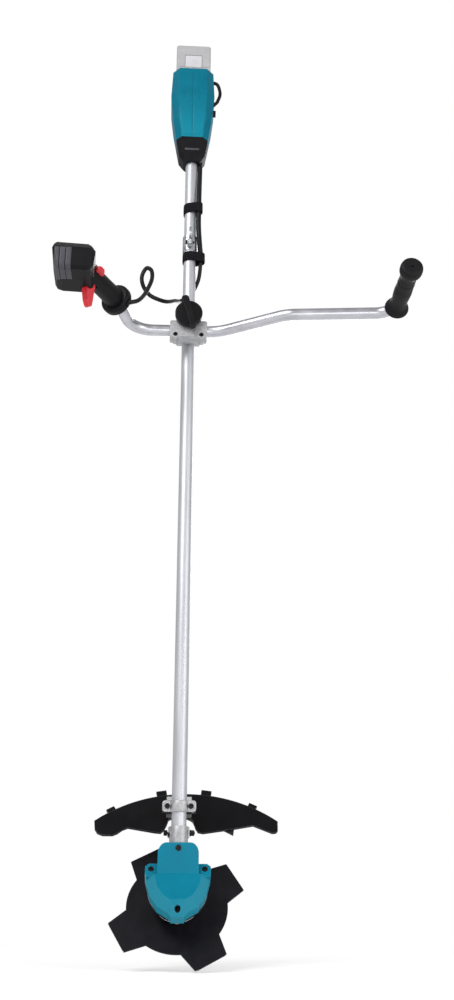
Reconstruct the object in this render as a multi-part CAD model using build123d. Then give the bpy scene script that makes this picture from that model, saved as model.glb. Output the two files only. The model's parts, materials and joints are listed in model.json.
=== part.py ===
from build123d import *
import math
import os

# A cordless brush cutter with a bicycle handle, battery end up.
# The axis of the main pipe is +Z.  -Y is the side that faces up in use, +X is the user's left hand side.
# The origin is where the pipe axis meets the motor axis.  All lengths are in millimetres.

# ---------------------------------------------------------------- driving dimensions
PIPE_R = 12.5
PIPE_WALL = 1.6
PIPE_BOTTOM_Z = 44.0
PIPE_TOP_Z = 1512.0
FIT = 0.02

PIPE_RISE = 33.0
HEAD_DROP = 52.0

BLADE_R = 115.0
BLADE_ROOT_R = 83.5
BLADE_THICK = 2.0
BLADE_TEETH = 4
TOOTH_TIP_SPAN = 28.5
TOOTH_ROOT_SPAN = 50.0
BLADE_TURN = 119.5
ARBOR_R = 12.7

SPINDLE_R = 5.0
SPINDLE_LOW_H = -14.0
SPINDLE_TOP_H = 48.2
HOUSING_R = 48.0
HOUSING_RIM_R = 38.4
HOUSING_CONE_H = 36.0
HOUSING_LOW_H = 14.0
HOUSING_TOP_H = 43.2
LID_TOP_H = 47.0
LID_R = 48.5

COVER_FLAT_H = 80.0
COVER_FOLD_S = 8.0
COVER_REAR_S = 47.0
COVER_WALL = 3.0
COVER_EAR_X = 43.5
COVER_EAR_S = 19.5
COVER_TOE_S = -50.0

GUARD_ARC_X = 14.0
GUARD_ARC_S = -60.0
GUARD_ARC_R = 247.0
GUARD_TOP_H = 49.0
GUARD_WALL = 2.6
GUARD_BRACKET_Z = 125.5

BAR_R = 11.0
BAR_Y = -40.0
BAR_Z = 1010.0
SWING_Z = 1035.0

GRIP_X = -134.0
GRIP_Y = -139.0
GRIP_LEAN = 28.0
SLEEVE_R = 5.4
CABLE_R = 4.0
BOX_X = -202.5
BOX_Y = -256.5
BOX_Z = 1003.0
BOX_HALF_LENGTH = 38.5
BOX_TURN = 4.0

NOSE_LOW_Z = 1443.0
NOSE_TOP_Z = 1497.0
REAR_TOP_Z = 1668.0
REAR_WALL = 3.0
BATTERY_LOW_Z = 1674.0
BATTERY_TOP_Z = 1738.0
BATTERY_FRONT_Y = -46.0
BATTERY_BACK_Y = 66.0
BATTERY_HALF_X = 37.5

# ---------------------------------------------------------------- frames and small helpers
RISE = math.radians(PIPE_RISE)
HEAD = Plane(
    origin=(0, HEAD_DROP * math.cos(RISE), -HEAD_DROP * math.sin(RISE)),
    x_dir=(1, 0, 0),
    z_dir=(0, -math.cos(RISE), math.sin(RISE)),
)
SIDE = Plane(origin=(0, 0, 0), x_dir=(0, 1, 0), z_dir=(1, 0, 0))
LEAN = math.radians(GRIP_LEAN)
GRIP = Plane(
    origin=(GRIP_X, GRIP_Y, BAR_Z),
    x_dir=(math.cos(LEAN), -math.sin(LEAN), 0),
    z_dir=(-math.sin(LEAN), -math.cos(LEAN), 0),
)


TURN = math.radians(BOX_TURN)
BOX = Plane(origin=(BOX_X, BOX_Y, BOX_Z), x_dir=(math.cos(TURN), math.sin(TURN), 0), z_dir=(0, 0, 1))


def on_head(shape):
    """Move a shape from head coordinates (x, backwards in the blade plane, height above it)."""
    return HEAD.location * shape


def on_grip(shape):
    """Move a shape from grip coordinates (inwards, towards the battery, along the grip)."""
    return GRIP.location * shape


def on_box(shape):
    """Move a shape from switch box coordinates (across, backwards, up) about the middle of the box."""
    return BOX.location * shape


def rod(radius, start, end):
    """A round rod between two points."""
    a = Vector(*start)
    b = Vector(*end)
    plane = Plane(origin=a, z_dir=(b - a).normalized())
    return plane.location * upright(radius, (b - a).length)


def upright(radius, height):
    """A round post standing on z = 0."""
    return Cylinder(radius, height, align=(Align.CENTER, Align.CENTER, Align.MIN))


def ring(outer, inner, start, end):
    """A round tube between two points."""
    return rod(outer, start, end) - rod(inner, start, end)


def block(x0, x1, y0, y1, z0, z1):
    """A box given by its faces."""
    return Pos((x0 + x1) / 2, (y0 + y1) / 2, (z0 + z1) / 2) * Box(x1 - x0, y1 - y0, z1 - z0)


def slab(outline, low, high):
    """An upright prism on a closed outline of (x, y) points."""
    return Pos(0, 0, low) * extrude(make_face(Polyline(*outline, close=True)), high - low)


def side_slab(outline, x0, x1):
    """A prism across X between x0 and x1 on a closed outline of (y, z) points."""
    return SIDE.location * slab(outline, x0, x1)


def tube_along(points, radius, start_dir=None, end_dir=None):
    """A round bar that follows a smooth curve through the points."""
    tangents = [start_dir, end_dir] if start_dir and end_dir else []
    path = Spline(*points, tangents=tangents)
    profile = Plane(origin=path @ 0, z_dir=path % 0) * Circle(radius)
    return sweep(profile, path)


def socket_screw(head_r, head_h, shank_r, length, hex_r):
    """A socket head screw pointing down -Z with the underside of its head at z = 0."""
    head = upright(head_r, head_h)
    head = chamfer(head.edges().group_by(Axis.Z)[-1], head_h * 0.12)
    recess = Pos(0, 0, head_h * 0.45) * extrude(RegularPolygon(hex_r, 6), head_h)
    shank = Cylinder(shank_r, length, align=(Align.CENTER, Align.CENTER, Align.MAX))
    return head - recess + shank


def one(shape):
    """The single solid inside a result."""
    solids = shape.solids()
    return solids[0] if len(solids) == 1 else max(solids, key=lambda s: s.volume)


parts = {}

# ---------------------------------------------------------------- main pipe and what runs in it
parts["main_pipe"] = ring(PIPE_R, PIPE_R - PIPE_WALL, (0, 0, PIPE_BOTTOM_Z), (0, 0, PIPE_TOP_Z))

LOOM_R = 3.2
LOOM_OFFSET = 4.4
loom = [
    Pos(LOOM_OFFSET * math.cos(math.radians(a)), LOOM_OFFSET * math.sin(math.radians(a)), 0)
    * rod(LOOM_R, (0, 0, PIPE_BOTTOM_Z + 6), (0, 0, PIPE_TOP_Z - 6))
    for a in (90, 210, 330)
]
parts["wiring_loom"] = Compound(loom)


# ---------------------------------------------------------------- cutting head: what spins
def blade():
    """The four tooth blade, flat, centred on the arbor, with each tooth wider at its root."""
    outline = []
    for i in range(BLADE_TEETH):
        middle = math.radians(BLADE_TURN - i * 360 / BLADE_TEETH)
        tip = math.radians(TOOTH_TIP_SPAN / 2)
        root = math.radians(TOOTH_ROOT_SPAN / 2)
        outline.append((BLADE_ROOT_R, middle + root))
        outline.append((BLADE_R, middle + tip))
        outline.append((BLADE_R, middle - tip))
        outline.append((BLADE_ROOT_R, middle - root))
    points = [(r * math.cos(a), r * math.sin(a)) for r, a in outline]
    edges = []
    for i, point in enumerate(points):
        following = points[(i + 1) % len(points)]
        if i % 4 == 3:
            a = outline[i][1]
            half = math.radians((360 / BLADE_TEETH - TOOTH_ROOT_SPAN) / 2)
            bulge = (BLADE_ROOT_R * math.cos(a - half), BLADE_ROOT_R * math.sin(a - half))
            edges.append(ThreePointArc(point, bulge, following))
        else:
            edges.append(Line(point, following))
    face = make_face(Wire(edges))
    plate = Pos(0, 0, -BLADE_THICK / 2) * extrude(face, BLADE_THICK)
    return plate - Cylinder(ARBOR_R, 3 * BLADE_THICK)


def revolve_profile(outline):
    """A solid of revolution about the head's spin axis from (radius, height) points."""
    face = make_face(Polyline(*[(r, 0, h) for r, h in outline], close=True))
    return revolve(face, Axis.Z)


parts["cutting_blade"] = on_head(blade())

spindle = revolve_profile([
    (0, SPINDLE_LOW_H), (SPINDLE_R - 0.8, SPINDLE_LOW_H), (SPINDLE_R, SPINDLE_LOW_H + 0.8),
    (SPINDLE_R, SPINDLE_TOP_H - 0.8), (SPINDLE_R - 0.8, SPINDLE_TOP_H), (0, SPINDLE_TOP_H),
])
parts["spindle"] = on_head(spindle)

receiver = revolve_profile([
    (SPINDLE_R, -1), (ARBOR_R - FIT, -1), (ARBOR_R - FIT, 1), (25, 1), (25, 4), (22, 5.5), (10, 6.5),
    (8.8, HOUSING_LOW_H - 0.2), (SPINDLE_R, HOUSING_LOW_H - 0.2),
])
parts["receiver_washer"] = on_head(receiver)

clamp_disc = revolve_profile([(SPINDLE_R, -3.5), (22, -3.5), (24, -2.5), (24, -1), (SPINDLE_R, -1)])
parts["clamp_washer"] = on_head(clamp_disc)

cup = revolve_profile([
    (SPINDLE_R, -3.5), (SPINDLE_R, -5.5), (16, -5.5), (23, -8.5), (30, -15),
    (34, -15), (34, -13), (31.5, -13), (25, -6.4), (18, -3.5),
])
parts["support_cup"] = on_head(cup)

NUT_AF = 17.0
nut = Pos(0, 0, -13) * extrude(RegularPolygon(NUT_AF / 2, 6, major_radius=False), 6)
nut += Pos(0, 0, -7) * upright(11, 1.5)
nut -= Cylinder(SPINDLE_R, 60)
parts["blade_nut"] = on_head(nut)

ROTOR_R = 37.0
rotor = revolve_profile([
    (SPINDLE_R, 34.5), (9, 34.5), (9, 37.6), (ROTOR_R - 3, 37.6), (ROTOR_R - 3, 18),
    (ROTOR_R, 18), (ROTOR_R, 38.5), (ROTOR_R - 1.5, 40), (9, 40), (9, 40.6), (SPINDLE_R, 40.6),
])
parts["rotor_bell"] = on_head(rotor)

MAGNET_COUNT = 14
MAGNET_INNER_R = 31.3
MAGNET_OUTER_R = 33.9
MAGNET_GAP_ANGLE = 2
magnets = []
for i in range(MAGNET_COUNT):
    wedge = revolve_profile([
        (MAGNET_INNER_R, 19.5), (MAGNET_OUTER_R, 19.5), (MAGNET_OUTER_R, 36.5), (MAGNET_INNER_R, 36.5),
    ])
    span = math.radians(360 / MAGNET_COUNT / 2 - MAGNET_GAP_ANGLE)
    keep = slab([
        (0, 0), (60 * math.cos(span), -60 * math.sin(span)), (60 * math.cos(span), 60 * math.sin(span)),
    ], 15, 40)
    magnets.append(Rot(0, 0, i * 360 / MAGNET_COUNT) * one(wedge & keep))
parts["rotor_magnets"] = on_head(Compound(magnets))

# ---------------------------------------------------------------- cutting head: motor that stands still
TOOTH_COUNT = 12
CORE_LOW_H = 20.0
CORE_TOP_H = 35.0
CORE_R = 21.0
CORE_BORE_R = 16.0
SHOE_R = 30.3
core = rod(CORE_R, (0, 0, CORE_LOW_H), (0, 0, CORE_TOP_H))
shoe_space = rod(SHOE_R, (0, 0, CORE_LOW_H), (0, 0, CORE_TOP_H))
for i in range(TOOTH_COUNT):
    arm = block(20, 27.5, -1.8, 1.8, CORE_LOW_H, CORE_TOP_H)
    shoe = block(27, 29.6, -5.0, 5.0, CORE_LOW_H, CORE_TOP_H) & shoe_space
    core += Rot(0, 0, i * 360 / TOOTH_COUNT) * (arm + shoe)
core -= Cylinder(CORE_BORE_R, 100)
parts["stator_core"] = on_head(one(core))

coils = []
for i in range(TOOTH_COUNT):
    coil = block(22.0, 26.6, -3.6, 3.6, CORE_LOW_H - 1.2, CORE_TOP_H + 1.2)
    coil -= block(20, 33, -1.9, 1.9, CORE_LOW_H - 0.1, CORE_TOP_H + 0.1)
    coils.append(Rot(0, 0, i * 360 / TOOTH_COUNT) * coil)
parts["stator_windings"] = on_head(Compound(coils))

BEARING_R = 11.0
BEARING_W = 7.0
LOW_BEARING_H = 15.2
TOP_BEARING_H = 41.5
bearing_shape = upright(BEARING_R, BEARING_W)
bearing_shape -= Cylinder(SPINDLE_R + FIT, 60)
parts["motor_bearings"] = on_head(
    Compound([Pos(0, 0, LOW_BEARING_H) * bearing_shape, Pos(0, 0, TOP_BEARING_H) * bearing_shape])
)

housing = revolve_profile([
    (12, HOUSING_LOW_H), (HOUSING_RIM_R - 1, HOUSING_LOW_H), (HOUSING_RIM_R, HOUSING_LOW_H + 1),
    (HOUSING_RIM_R, HOUSING_LOW_H + 2.5), (HOUSING_R, HOUSING_CONE_H), (HOUSING_R, HOUSING_TOP_H),
    (HOUSING_R - 3, HOUSING_TOP_H), (HOUSING_R - 3, HOUSING_CONE_H + 1), (ROTOR_R + 0.6, HOUSING_LOW_H + 6),
    (ROTOR_R + 0.6, HOUSING_LOW_H + 4), (ROTOR_R - 2, HOUSING_LOW_H + 3), (CORE_R, HOUSING_LOW_H + 3),
    (CORE_R, CORE_LOW_H), (CORE_BORE_R, CORE_LOW_H), (CORE_BORE_R, 33), (12.5, 33), (12.5, 26),
    (BEARING_R, 26), (BEARING_R, LOW_BEARING_H), (9.5, LOW_BEARING_H), (9.5, HOUSING_LOW_H),
])
COOLING_SLOTS = 10
for i in range(COOLING_SLOTS):
    slot = block(25, 33, -2, 2, HOUSING_LOW_H - 2, HOUSING_LOW_H + 5)
    housing -= Rot(0, 0, i * 360 / COOLING_SLOTS) * slot
parts["motor_housing"] = on_head(one(housing))


# ---------------------------------------------------------------- cutting head: neck casting
def pipe_axis_h(s):
    """Height of the pipe axis above the blade plane at a distance s behind the spin axis."""
    return HEAD_DROP + s * math.tan(RISE)


NECK_R = 15.4
NECK_LOW_Z = 37.0
NECK_TOP_Z = 94.0
EAR_BOLT_Y = 20.5
EAR_BOLT_Z = 85.0
EAR_HALF = 18.0

LID_FOOT_R = 8.0
lid = rod(LID_R, (0, 0, HOUSING_TOP_H), (0, 0, LID_TOP_H))
for x, s in ((-COVER_EAR_X, COVER_EAR_S), (COVER_EAR_X, COVER_EAR_S), (0, COVER_TOE_S)):
    lid += rod(LID_FOOT_R, (x, s, HOUSING_TOP_H), (x, s, LID_TOP_H))
lid += rod(14, (0, 0, TOP_BEARING_H), (0, 0, 50))
lid -= rod(BEARING_R + FIT, (0, 0, TOP_BEARING_H), (0, 0, TOP_BEARING_H + BEARING_W))
web = side_slab([(14, LID_TOP_H - 2), (43, LID_TOP_H - 2), (43, 66), (30, 60)], -11, 11)
lid = on_head(lid + web)
neck_tube = rod(NECK_R, (0, 0, NECK_LOW_Z), (0, 0, NECK_TOP_Z))
neck_tube += block(-EAR_HALF, EAR_HALF, 8, EAR_BOLT_Y + 7, EAR_BOLT_Z - 8, NECK_TOP_Z)
under_lid = on_head(block(-80, 80, -80, 80, -40, HOUSING_TOP_H))
neck = lid + (neck_tube - under_lid)
neck -= rod(PIPE_R + FIT, (0, 0, PIPE_BOTTOM_Z - FIT), (0, 0, 200))
neck -= rod(9, (0, 0, NECK_LOW_Z + 3), (0, 0, 60))
neck -= block(-1.6, 1.6, 6, 40, EAR_BOLT_Z - 14, NECK_TOP_Z + 1)
neck -= rod(2.6, (-40, EAR_BOLT_Y, EAR_BOLT_Z), (40, EAR_BOLT_Y, EAR_BOLT_Z))
LOCATING_Y = -4.0
LOCATING_Z = 81.0
neck -= rod(2.0, (-30, LOCATING_Y, LOCATING_Z), (-10, LOCATING_Y, LOCATING_Z))

COVER_SCREWS = (
    (-COVER_EAR_X, COVER_EAR_S, 73.0), (COVER_EAR_X, COVER_EAR_S, 73.0), (0, COVER_TOE_S, 66.0),
)
TOP_SCREW_Z = 60.0
TOP_SCREW_Y = -17.4
screw_hole_r = 2.0
for x, s, h in COVER_SCREWS:
    neck -= on_head(rod(screw_hole_r, (x, s, HOUSING_TOP_H - 5), (x, s, h)))
neck -= rod(screw_hole_r, (0, -30, TOP_SCREW_Z), (0, -10, TOP_SCREW_Z))
parts["neck_casting"] = one(neck)

washer_low = EAR_HALF + 0.5
washer_top = EAR_HALF + 2.5
clamp_bolt = Pos(-EAR_HALF - 1, 0, 0) * Rot(0, -90, 0) * socket_screw(4.6, 6, 2.5, 46, 2.6)
clamp_bolt += ring(5.2, 2.5, (washer_low, 0, 0), (washer_top, 0, 0))
clamp_nut = extrude(RegularPolygon(4.0, 6, major_radius=False), 5.5)
clamp_bolt += Pos(washer_top, 0, 0) * Rot(0, 90, 0) * clamp_nut
parts["neck_bolt"] = one(Pos(0, EAR_BOLT_Y, EAR_BOLT_Z) * clamp_bolt)

locating_screw = Rot(0, -90, 0) * socket_screw(3.4, 3, 1.9, 2.6, 1.5)
parts["locating_screw"] = Pos(-NECK_R, LOCATING_Y, LOCATING_Z) * locating_screw


# ---------------------------------------------------------------- cutting head: moulded cover
SHIELD = ((10, -59), (15, -52), (33, -40), (45, -20), (50, 0), (53, 12), (53, 24), (47, 29), (28, 29))
TOWER_HALF = 33.0
TOWER_CORNER = 14.0
EAR_TOP_H = 74.0
BEVEL_LOW_H = 64.0
BEVEL_ANGLE = 38.0


def shield_face(grow):
    """Plan of the cover in front of the tower as a face, grown outwards by the given amount."""
    right = [(x, s) for x, s in SHIELD]
    left = [(-x, s) for x, s in reversed(SHIELD)]
    face = make_face(Polyline(*right, *left, close=True))
    return offset(face, grow, kind=Kind.INTERSECTION) if grow else face


def tower_face(grow):
    """Plan of the tower over the neck, with rounded rear corners."""
    half = TOWER_HALF + grow
    tower = Pos(0, (COVER_REAR_S + grow) / 2) * Rectangle(2 * half, COVER_REAR_S + grow)
    return fillet(tower.vertices().group_by(Axis.Y)[-1], TOWER_CORNER + grow)


def cover_roof(drop):
    """Space under the cover's roof: flat in front, low over the ears, rising over the neck."""
    top = COVER_FLAT_H - drop
    rear = COVER_REAR_S + 20
    outline = [
        (-80, 0), (-80, 60 - drop), (-66, 66 - drop), (-38, top), (COVER_FOLD_S, top),
        (rear, top + (rear - COVER_FOLD_S) * math.tan(RISE)), (rear, 0),
    ]
    roof = side_slab(outline, -90, 90)
    for side in (-1, 1):
        x0, x1 = sorted((side * (TOWER_HALF - drop), side * 90))
        roof -= block(x0, x1, COVER_FOLD_S - 2 - drop, 80, EAR_TOP_H - drop, 200)
    return roof


def cover_body(shrink):
    """The cover as a filled shape, shrunk all round by the given amount."""
    face = shield_face(-shrink)
    base = LID_TOP_H - (1 if shrink else 0)
    low = BEVEL_LOW_H - shrink
    front = Pos(0, 0, base) * extrude(face, low - base)
    front += Pos(0, 0, low) * extrude(face, COVER_FLAT_H + 12 - BEVEL_LOW_H, taper=BEVEL_ANGLE)
    front += Pos(0, 0, base) * extrude(face, 60) & block(-90, 90, COVER_FOLD_S - 2 + shrink, 80, 0, 200)
    tower = Pos(0, 0, base) * extrude(tower_face(-shrink), 90)
    return (front + tower) & cover_roof(shrink)


cover = cover_body(0) - cover_body(COVER_WALL)
for x, s, h in COVER_SCREWS:
    post = rod(5.2, (x, s, LID_TOP_H), (x, s, h - 0.5))
    cover += post & cover_roof(0.5)
    cover -= rod(2.6, (x, s, LID_TOP_H - 1), (x, s, 120))
    cover -= rod(5.0, (x, s, h - 2.5), (x, s, 120))
cover = on_head(cover)
cover -= rod(NECK_R + 0.3, (0, 0, 0), (0, 0, 200))
cover -= rod(2.3, (0, -40, TOP_SCREW_Z), (0, 0, TOP_SCREW_Z))
cover -= rod(5.0, (0, -40, TOP_SCREW_Z), (0, TOP_SCREW_Y, TOP_SCREW_Z))
cover -= block(-EAR_HALF - 0.5, EAR_HALF + 0.5, 0, 60, 68, 140)
parts["head_cover"] = one(cover)

screws = []
for x, s, h in COVER_SCREWS:
    seat = h - 2.5
    screws.append(on_head(Pos(x, s, seat) * socket_screw(4.4, 4.5, 2.0, seat - LID_TOP_H + 3.5, 2.4)))
screws.append(Pos(0, TOP_SCREW_Y, TOP_SCREW_Z) * Rot(90, 0, 0) * socket_screw(4.4, 3.4, 2.0, 4.0, 2.4))
parts["head_cover_screws"] = Compound(screws)

# ---------------------------------------------------------------- guard behind the blade

def guard_arc_point(x, inset=0.0):
    """A point of the guard's outer arc at a given x."""
    r = GUARD_ARC_R - inset
    return (x, GUARD_ARC_S + math.sqrt(r * r - (x - GUARD_ARC_X) ** 2))


GUARD_LEFT_X = -144.0
GUARD_RIGHT_X = 171.0
ARCH_TOP_S = 143.0


def guard_outline(inset):
    """Plan of the guard plate, as a sketch, with the arch that clears the neck."""
    outer = ThreePointArc(
        guard_arc_point(GUARD_LEFT_X), guard_arc_point(GUARD_ARC_X), guard_arc_point(GUARD_RIGHT_X)
    )
    left_low = Polyline(
        guard_arc_point(GUARD_LEFT_X), (-142, 113), (-137, 105), (-128, 101), (-111, 101), (-103, 105),
        (-95, 112), (-86, 116), (-40, 107), (-30, 106), (-25, 111), (-20, 122), (-17, 136),
    )
    arch = ThreePointArc((-17, 136), (4, ARCH_TOP_S), (24, 132))
    right_low = Polyline(
        (24, 132), (29, 115), (33, 108), (42, 106), (94, 115), (128, 122), (160, 107), (167, 108), (170, 112),
        guard_arc_point(GUARD_RIGHT_X),
    )
    face = make_face(Wire([*outer.edges(), *left_low.edges(), *arch.edges(), *right_low.edges()]))
    return offset(face, -inset) if inset else face


guard = Pos(0, 0, 16) * extrude(guard_outline(0), GUARD_TOP_H - 16)
guard -= Pos(0, 0, 15) * extrude(guard_outline(GUARD_WALL), GUARD_TOP_H - GUARD_WALL - 15)
guard -= side_slab([(60, 0), (60, 45.5), (122, 45.5), (165, 30), (190, 18), (190, 0)], -170, 190)
GUARD_TABS = ((-30, 18, 12), (48, 18, 12), (-116, 15, 9), (128, 15, 9))
for x, width, tall in GUARD_TABS:
    s = guard_arc_point(x)[1]
    turn = -math.degrees(math.asin((x - GUARD_ARC_X) / GUARD_ARC_R))
    tab = Pos(x, s + tall / 2 - 1.5, GUARD_TOP_H - 4) * Rot(0, 0, turn) * Box(width, tall + 2, 5)
    guard += tab
LEG_SIDE = (
    (ARCH_TOP_S - 2, GUARD_TOP_H - 2), (176, GUARD_TOP_H - 2), (144, 96), (122, 115), (98, 110), (106, 90),
)
leg = side_slab(LEG_SIDE, -21, 21)
hollow = side_slab([(150, 30), (170, 30), (141, 90), (130, 94)], -17, 17)
guard = on_head(guard + leg - hollow)
BRACKET_HALF_Z = 9.0
guard += block(-28, 28, 1.5, 24, GUARD_BRACKET_Z - BRACKET_HALF_Z, GUARD_BRACKET_Z + BRACKET_HALF_Z)
guard -= rod(PIPE_R + FIT, (0, 0, 60), (0, 0, 260))
guard -= block(-60, 60, -60, 1.5, 60, 240)
GUARD_BOLT_X = 19.5
for x in (-GUARD_BOLT_X, GUARD_BOLT_X):
    guard -= rod(2.5, (x, 0, GUARD_BRACKET_Z), (x, 18, GUARD_BRACKET_Z))
cutter_slot = on_head(block(72, 96, 100, 132, 42.6, 44.8))
guard -= cutter_slot
parts["guard_shell"] = one(guard)

knife = slab([(73, 117), (73, 130), (95, 130), (95, 115), (93.5, 105)], 42.7, 44.7)
parts["line_cutter"] = on_head(knife)

bracket = block(-28, 28, -7, -1.5, GUARD_BRACKET_Z - BRACKET_HALF_Z, GUARD_BRACKET_Z + BRACKET_HALF_Z)
bracket = fillet(bracket.edges().filter_by(Axis.Y), 5)
saddle = rod(16.2, (0, 0, GUARD_BRACKET_Z - BRACKET_HALF_Z), (0, 0, GUARD_BRACKET_Z + BRACKET_HALF_Z))
bracket += saddle - block(-40, 40, -1.5, 40, 60, 200)
bracket -= rod(PIPE_R + FIT, (0, 0, 60), (0, 0, 260))
for x in (-GUARD_BOLT_X, GUARD_BOLT_X):
    bracket -= rod(2.6, (x, -20, GUARD_BRACKET_Z), (x, 20, GUARD_BRACKET_Z))
parts["guard_bracket"] = one(bracket)
parts["guard_bolts"] = Compound([
    Pos(x, -7, GUARD_BRACKET_Z) * Rot(90, 0, 0) * socket_screw(4.4, 3.6, 2.4, 22, 2.3)
    for x in (-GUARD_BOLT_X, GUARD_BOLT_X)
])

# ---------------------------------------------------------------- handle base on the pipe
BASE_HALF_X = 24.0
BASE_LOW_Z = 1008.0
BASE_TOP_Z = 1053.0
BASE_FRONT_Y = -26.0
BASE_BOLT_X = 18.5
STUD_R = 4.0
pipe_space = rod(PIPE_R + FIT, (0, 0, 900), (0, 0, 1400))
base_front = block(-BASE_HALF_X, BASE_HALF_X, BASE_FRONT_Y, -0.5, BASE_LOW_Z, BASE_TOP_Z)
base_front = fillet(base_front.edges().filter_by(Axis.Y), 4) - pipe_space
base_rear = block(-BASE_HALF_X, BASE_HALF_X, 0.5, 17, BASE_LOW_Z, BASE_TOP_Z)
base_rear = fillet(base_rear.edges().filter_by(Axis.Y), 4)
base_rear = chamfer(base_rear.edges().filter_by(Axis.Z).group_by(Axis.Y)[-1], 3) - pipe_space
base_bolts = []
for x in (-BASE_BOLT_X, BASE_BOLT_X):
    for z in (BASE_LOW_Z + 8, BASE_TOP_Z - 8):
        base_rear -= rod(2.6, (x, -1, z), (x, 30, z))
        base_rear -= rod(4.8, (x, 13.5, z), (x, 30, z))
        base_front -= rod(2.5, (x, -18, z), (x, 1, z))
        base_bolts.append(Pos(x, 13.5, z) * Rot(-90, 0, 0) * socket_screw(4.5, 4.5, 2.4, 30, 2.4))
base_front -= rod(STUD_R, (0, BASE_FRONT_Y - 1, SWING_Z), (0, -PIPE_R - 3, SWING_Z))
parts["handle_base_front"] = one(base_front)
parts["handle_base_rear"] = one(base_rear)
parts["handle_base_bolts"] = Compound(base_bolts)
KNOB_LOW_Y = -58.0
KNOB_TOP_Y = -70.0
parts["knob_stud"] = rod(STUD_R, (0, -PIPE_R - 3, SWING_Z), (0, KNOB_TOP_Y + 3, SWING_Z))

# ---------------------------------------------------------------- handle holder, bar and washer
HOLD_HALF_X = 36.0
HOLD_LOW_Z = 991.0
HOLD_TOP_Z = 1025.0
HOLD_BACK_Y = -26.5
HOLD_FRONT_Y = -54.0
LUG_X = 25.0
LUG_Z = 995.0
LUG_R = 7.0
bar_space = rod(BAR_R, (-80, BAR_Y, BAR_Z), (80, BAR_Y, BAR_Z))
stud_space = rod(STUD_R + 0.05, (0, -90, SWING_Z), (0, -10, SWING_Z))


def holder_half(y0, y1):
    """One half of the bar holder between two Y faces, with its bolt lugs and the boss for the stud."""
    half = block(-HOLD_HALF_X, HOLD_HALF_X, y0, y1, HOLD_LOW_Z, HOLD_TOP_Z)
    half = fillet(half.edges().filter_by(Axis.Y), 3)
    half += rod(16, (0, y0, SWING_Z), (0, y1, SWING_Z))
    for x in (-LUG_X, LUG_X):
        half += rod(LUG_R, (x, y0, LUG_Z), (x, y1, LUG_Z))
    return half - bar_space - stud_space


holder_rear = holder_half(BAR_Y + 0.4, HOLD_BACK_Y)
holder_front = holder_half(HOLD_FRONT_Y, BAR_Y - 0.4)
holder_bolts = []
for x in (-LUG_X, LUG_X):
    holder_front -= rod(2.6, (x, -60, LUG_Z), (x, -30, LUG_Z))
    holder_front -= rod(4.6, (x, -60, LUG_Z), (x, HOLD_FRONT_Y + 5, LUG_Z))
    holder_rear -= rod(2.5, (x, -60, LUG_Z), (x, -29, LUG_Z))
    holder_bolt = Rot(90, 0, 0) * socket_screw(4.4, 4.2, 2.4, 19, 2.4)
    holder_bolts.append(Pos(x, HOLD_FRONT_Y + 5, LUG_Z) * holder_bolt)
parts["handle_holder_front"] = one(holder_front)
parts["handle_holder_rear"] = one(holder_rear)
parts["handle_holder_bolts"] = Compound(holder_bolts)
knob_washer = ring(21, STUD_R + 0.05, (0, KNOB_LOW_Y + 0.3, 0), (0, HOLD_FRONT_Y, 0))
parts["knob_washer"] = Pos(0, 0, SWING_Z) * knob_washer

BAR_CORNERS = (
    (-139.0, -160.0), (-108.0, BAR_Y), (58.0, BAR_Y), (184.0, -110.0), (385.0, -128.0), (387.0, -272.0),
)
BAR_BENDS = (50.0, 80.0, 80.0, 38.0)


def bend_path(corners, bends):
    """A flat path of straight runs joined by round bends."""
    points = [Vector(x, y, BAR_Z) for x, y in corners]
    edges = []
    start = points[0]
    for before, corner, after, radius in zip(points, points[1:], points[2:], bends):
        to_corner = (corner - before).normalized()
        away = (after - corner).normalized()
        half_turn = to_corner.get_angle(away) / 2
        run = radius * math.tan(math.radians(half_turn))
        enter = corner - to_corner * run
        leave = corner + away * run
        edges.append(Line(start, enter))
        edges.append(TangentArc(enter, leave, tangent=to_corner))
        start = leave
    edges.append(Line(start, points[-1]))
    return Wire(edges)


bar_path = bend_path(BAR_CORNERS, BAR_BENDS)
bar_start = Plane(origin=bar_path @ 0, z_dir=bar_path % 0)
bar = sweep(bar_start * Circle(BAR_R), bar_path, transition=Transition.ROUND)
BAR_BORE_R = BAR_R - 1.6
bar_hole = sweep(bar_start * Circle(BAR_BORE_R), bar_path, transition=Transition.ROUND)
parts["handlebar"] = one(bar - bar_hole)

# ---------------------------------------------------------------- clamp knob
knob = rod(26.5, (0, KNOB_LOW_Y, SWING_Z), (0, KNOB_TOP_Y, SWING_Z))
knob = fillet(knob.edges().group_by(Axis.Y)[0], 3)
wing = Pos(0, (KNOB_TOP_Y - 10) / 2 - 31, SWING_Z) * Box(14, 18, 66)
wing = fillet(wing.edges().filter_by(Axis.Y), 5)
wing = fillet(wing.edges().group_by(Axis.Y)[0], 2)
KNOB_WING_TURN = -16.0
wing = Pos(0, 0, SWING_Z) * Rot(0, KNOB_WING_TURN, 0) * Pos(0, 0, -SWING_Z) * wing
knob += wing
knob -= rod(STUD_R + 0.05, (0, KNOB_LOW_Y + 10, SWING_Z), (0, KNOB_TOP_Y + 2.5, SWING_Z))
parts["clamp_knob"] = one(knob)

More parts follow.
